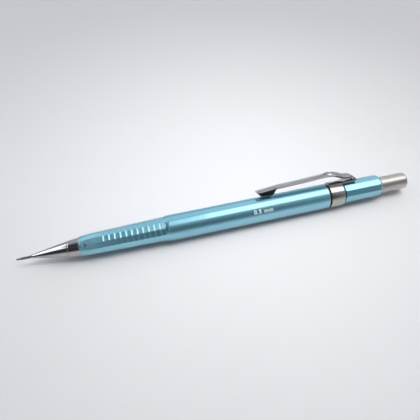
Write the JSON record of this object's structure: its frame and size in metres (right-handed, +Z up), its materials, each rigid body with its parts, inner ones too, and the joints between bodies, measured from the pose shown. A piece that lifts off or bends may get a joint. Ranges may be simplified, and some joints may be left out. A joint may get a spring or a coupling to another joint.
{
  "type": "mechanical pencil",
  "caption": "Push-button mechanical pencil with a twelve-sided ribbed grip, round barrel, steel pocket clip, chromed nose cone, return spring, lead clutch and eraser under the push cap.",
  "frame": {"origin": "middle of the bottom of the pencil's box, on the surface that the pencil lies on", "axes": "+X from the lead's point to the push cap, +Z up from that surface, +Y to the side that the clip leans towards"},
  "size_m": [0.142, 0.0106, 0.0129],
  "materials": {
    "barrel_paint": "pearl blue metallic paint, glossy",
    "bright_chrome": "polished",
    "satin_chrome": "satin, fine turning lines",
    "clip_steel": "polished pressed sheet",
    "sleeve_steel": "satin",
    "spring_steel": "drawn wire",
    "brass": "machined",
    "ferrule_metal": "satin",
    "tube_plastic": "milky translucent",
    "dark_plastic": "moulded",
    "eraser_rubber": "matt white vinyl",
    "black_rubber": "soft",
    "graphite": "polished graphite"
  },
  "bodies": {
    "barrel": {"barrel": "barrel_paint", "chuck_housing": "dark_plastic", "return_spring": "spring_steel"},
    "lead_carrier": {"reservoir_tube": "tube_plastic", "chuck_stem": "brass"},
    "chuck_jaw_1": {"chuck_jaw_1": "brass"},
    "chuck_jaw_2": {"chuck_jaw_2": "brass"},
    "chuck_jaw_3": {"chuck_jaw_3": "brass"},
    "clutch_ring": {"clutch_ring": "brass"},
    "lead": {"lead": "graphite"},
    "spare_leads": {"spare_lead_1": "graphite", "spare_lead_2": "graphite", "spare_lead_3": "graphite"},
    "eraser": {"eraser": "eraser_rubber", "eraser_ferrule": "ferrule_metal", "cleaning_needle": "spring_steel"},
    "push_cap": {"push_cap": "satin_chrome"},
    "lead_guide": {"guide_sleeve": "sleeve_steel", "lead_retainer": "black_rubber"},
    "nose_cone": {"nose_cone": "bright_chrome"},
    "clip": {"clip_band": "clip_steel"},
    "clip_arm": {"clip_arm": "clip_steel"}
  },
  "joints": [
    {"name": "push_button", "type": "slide", "parent": "barrel", "child": "lead_carrier", "axis": [-1, 0, 0], "range_m": [0, 0.003], "stiffness_N_per_m": 1200, "springref_m": -0.001, "deforming": ["return_spring"]},
    {"name": "clutch_ring_slide", "type": "slide", "parent": "barrel", "child": "clutch_ring", "axis": [-1, 0, 0], "range_m": [0, 0.0015]},
    {"name": "chuck_jaw_1_open", "type": "hinge", "parent": "lead_carrier", "child": "chuck_jaw_1", "pos_m": [-0.041, -0.00064, 0.0052], "axis": [0, 1, 0], "range_deg": [0, 0.8]},
    {"name": "chuck_jaw_2_open", "type": "hinge", "parent": "lead_carrier", "child": "chuck_jaw_2", "pos_m": [-0.041, -0.00116, 0.0043], "axis": [0, -0.5, 0.866], "range_deg": [0, 0.8]},
    {"name": "chuck_jaw_3_open", "type": "hinge", "parent": "lead_carrier", "child": "chuck_jaw_3", "pos_m": [-0.041, -0.00012, 0.0043], "axis": [0, -0.5, -0.866], "range_deg": [0, 0.8]},
    {"name": "lead_feed", "type": "slide", "parent": "lead_carrier", "child": "lead", "axis": [-1, 0, 0], "range_m": [-0.0014, 0.01]},
    {"name": "spare_leads_slide", "type": "slide", "parent": "lead_carrier", "child": "spare_leads", "axis": [1, 0, 0], "range_m": [-0.003, 0.003]},
    {"name": "eraser_pull", "type": "slide", "parent": "lead_carrier", "child": "eraser", "axis": [1, 0, 0], "range_m": [0, 0.028]},
    {"name": "push_cap_pull", "type": "slide", "parent": "eraser", "child": "push_cap", "axis": [1, 0, 0], "range_m": [0, 0.018]},
    {"name": "nose_cone_unscrew", "type": "slide", "parent": "barrel", "child": "lead_guide", "axis": [-1, 0, 0], "range_m": [0, 0.004]},
    {"name": "nose_cone_turn", "type": "hinge", "parent": "lead_guide", "child": "nose_cone", "pos_m": [-0.05025, -0.00064, 0.0046], "axis": [-1, 0, 0], "range_deg": [0, 1800]},
    {"name": "clip_slide", "type": "slide", "parent": "barrel", "child": "clip", "axis": [1, 0, 0], "range_m": [0, 0.034]},
    {"name": "clip_arm_flex", "type": "hinge", "parent": "clip", "child": "clip_arm", "pos_m": [0.0493, 0.00196, 0.0091], "axis": [0, 0.866, -0.5], "range_deg": [0, 5], "stiffness_Nm_per_rad": 1.5, "springref_deg": -1.72}
  ],
  "couplings": [
    {"joint": "clutch_ring_slide", "follows": "push_button", "ratio": 0.5},
    {"joint": "chuck_jaw_1_open", "follows": "push_button", "rad_per_m": 4.6496},
    {"joint": "chuck_jaw_2_open", "follows": "push_button", "rad_per_m": 4.6496},
    {"joint": "chuck_jaw_3_open", "follows": "push_button", "rad_per_m": 4.6496},
    {"joint": "nose_cone_turn", "follows": "nose_cone_unscrew", "rad_per_m": 7853.9}
  ]
}
